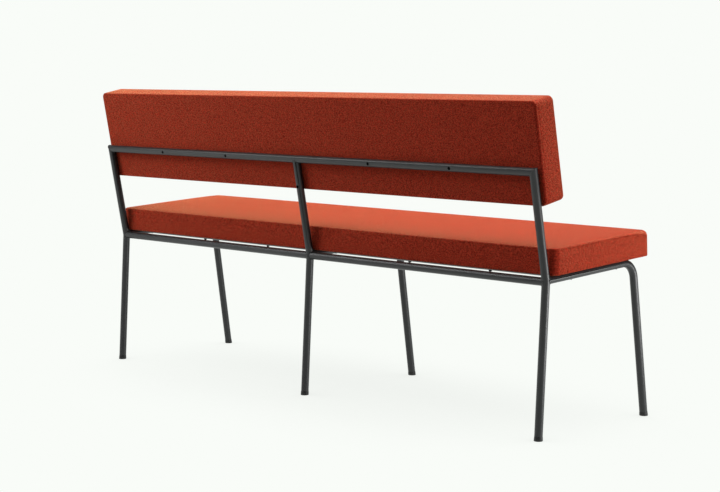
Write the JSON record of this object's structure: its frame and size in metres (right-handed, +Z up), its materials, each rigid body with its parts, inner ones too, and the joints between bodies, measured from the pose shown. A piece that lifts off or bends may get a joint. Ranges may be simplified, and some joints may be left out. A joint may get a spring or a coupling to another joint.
{
  "type": "bench with backrest",
  "caption": "Long upholstered bench with a reclined backrest on a welded round-tube steel frame with splayed legs.",
  "frame": {"origin": "on the floor, under the middle of the bench's bounding box", "axes": "+X along the bench to the sitter's left, -Y to the front, +Z up"},
  "size_m": [1.8, 0.5234, 0.8838],
  "materials": {
    "powder_coated_steel": "semi-matte powder coat",
    "glide_plastic": "matte",
    "upholstery_fabric": "felted wool",
    "foam": "cut foam",
    "plywood": "sanded",
    "dust_cover_cloth": "non-woven cloth"
  },
  "bodies": {
    "root": {"rear_leg_left": "powder_coated_steel", "rear_leg_centre": "powder_coated_steel", "rear_leg_right": "powder_coated_steel", "front_leg_left": "powder_coated_steel", "front_leg_centre": "powder_coated_steel", "front_leg_right": "powder_coated_steel", "rear_rail_left": "powder_coated_steel", "rear_rail_right": "powder_coated_steel", "seat_bearer_rear_left": "powder_coated_steel", "seat_bearer_rear_right": "powder_coated_steel", "seat_bearer_front_left": "powder_coated_steel", "seat_bearer_front_right": "powder_coated_steel", "back_rail": "powder_coated_steel", "glides_rear": "glide_plastic", "glides_front": "glide_plastic", "seat_cover": "upholstery_fabric", "back_cover": "upholstery_fabric", "back_rear_panel": "upholstery_fabric", "seat_foam": "foam", "back_foam": "foam", "seat_board": "plywood", "back_board": "plywood", "seat_dust_cover": "dust_cover_cloth"}
  },
  "joints": []
}
